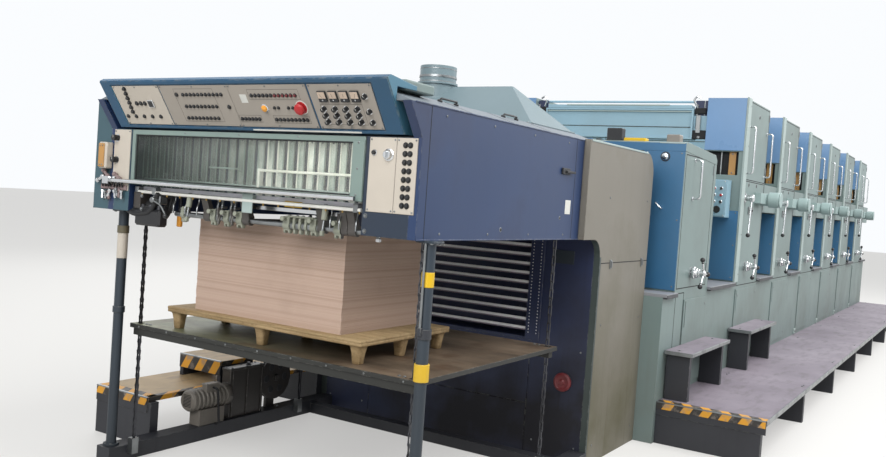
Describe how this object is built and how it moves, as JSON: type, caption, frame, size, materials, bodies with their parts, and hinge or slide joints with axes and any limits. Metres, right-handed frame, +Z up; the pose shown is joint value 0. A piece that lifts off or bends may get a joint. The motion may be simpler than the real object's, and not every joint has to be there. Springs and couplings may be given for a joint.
{
  "type": "offset printing press",
  "caption": "Sheet-fed offset printing press: hooded high-pile delivery with a tilted control desk, a low unit, a row of printing towers, side galleries and a feeder.",
  "frame": {"origin": "on the floor, on the press's centreline, beneath the middle of the delivery tower", "axes": "+X to the operator side, +Y along the press from the delivery towards the feeder, +Z up"},
  "size_m": [3.96, 16.768, 2.728],
  "materials": {
    "frame_dark": "satin",
    "navy_paint": "satin",
    "slate_blue_paint": "satin",
    "teal_paint": "satin",
    "desk_paint": "satin",
    "green_grey_paint": "satin",
    "warm_grey_paint": "satin",
    "bright_blue_paint": "gloss",
    "pale_trim": "satin",
    "cream_plate": "satin",
    "slat_paint": "satin",
    "black_plastic": "matte",
    "chrome": "polished",
    "steel": "worn",
    "chain_steel": "oiled",
    "motor_grey": "painted",
    "air_plastic": "translucent",
    "tread_plate": "worn",
    "board_steel": "worn",
    "wood": "raw",
    "paper": "matte",
    "clear_guard": "clear"
  },
  "bodies": {
    "press_frame": {"floor_beams": "frame_dark", "front_posts": "navy_paint", "hood_sides": "slate_blue_paint", "hood_roof": "green_grey_paint", "exhaust_cowl": "teal_paint", "front_cheeks": "slate_blue_paint", "control_desk": "desk_paint", "control_plates": "cream_plate", "control_knobs": "black_plastic", "jogger_rail": "pale_trim", "jogger_shaft": "steel", "jogger_clamps": "green_grey_paint", "air_strips": "air_plastic", "hoist_chains": "chain_steel", "hoist_shafts": "steel", "hoist_motor": "motor_grey", "delivery_tower": "navy_paint", "slat_grille": "slat_paint", "side_covers": "warm_grey_paint", "low_unit": "green_grey_paint", "edge_posts": "pale_trim", "front_panels": "bright_blue_paint", "cross_beams": "teal_paint", "door_grips": "chrome", "grip_feet": "chrome", "drive_drums": "motor_grey", "throw_levers": "chrome", "shelves": "pale_trim", "lower_panels": "green_grey_paint", "control_box": "teal_paint", "gallery_decks": "tread_plate", "gallery_frame": "frame_dark", "footboards": "tread_plate", "feeder": "green_grey_paint", "tower_1": "green_grey_paint", "tower_2": "green_grey_paint", "tower_3": "green_grey_paint", "tower_4": "green_grey_paint", "tower_5": "green_grey_paint", "tower_6": "green_grey_paint"},
    "pile_table": {"pile_board": "board_steel", "pallet": "wood", "paper_pile": "paper"},
    "guard": {"guard_frame": "teal_paint", "guard_pane": "clear_guard", "grip_bar": "chrome"},
    "star_handle_0": {"star_0": "chrome"},
    "star_handle_1": {"star_1": "chrome"},
    "star_handle_2": {"star_2": "chrome"},
    "star_handle_3": {"star_3": "chrome"},
    "star_handle_4": {"star_4": "chrome"},
    "star_handle_5": {"star_5": "chrome"},
    "star_handle_6": {"star_6": "chrome"}
  },
  "joints": [
    {"name": "pile_lift", "type": "slide", "parent": "press_frame", "child": "pile_table", "axis": [0, 0, 1], "range_m": [-0.4, 0.03]},
    {"name": "guard_hinge", "type": "hinge", "parent": "press_frame", "child": "guard", "pos_m": [0, -2.4775, 1.885], "axis": [-1, 0, 0], "range_deg": [0, 85]},
    {"name": "star_turn_0", "type": "hinge", "parent": "press_frame", "child": "star_handle_0", "pos_m": [1.22, 1.08, 1.205], "axis": [1, 0, 0], "continuous": true},
    {"name": "star_turn_1", "type": "hinge", "parent": "press_frame", "child": "star_handle_1", "pos_m": [1.22, 2.78, 1.205], "axis": [1, 0, 0], "continuous": true},
    {"name": "star_turn_2", "type": "hinge", "parent": "press_frame", "child": "star_handle_2", "pos_m": [1.22, 4.33, 1.205], "axis": [1, 0, 0], "continuous": true},
    {"name": "star_turn_3", "type": "hinge", "parent": "press_frame", "child": "star_handle_3", "pos_m": [1.22, 5.88, 1.205], "axis": [1, 0, 0], "continuous": true},
    {"name": "star_turn_4", "type": "hinge", "parent": "press_frame", "child": "star_handle_4", "pos_m": [1.22, 7.43, 1.205], "axis": [1, 0, 0], "continuous": true},
    {"name": "star_turn_5", "type": "hinge", "parent": "press_frame", "child": "star_handle_5", "pos_m": [1.22, 8.98, 1.205], "axis": [1, 0, 0], "continuous": true},
    {"name": "star_turn_6", "type": "hinge", "parent": "press_frame", "child": "star_handle_6", "pos_m": [1.22, 10.53, 1.205], "axis": [1, 0, 0], "continuous": true}
  ]
}
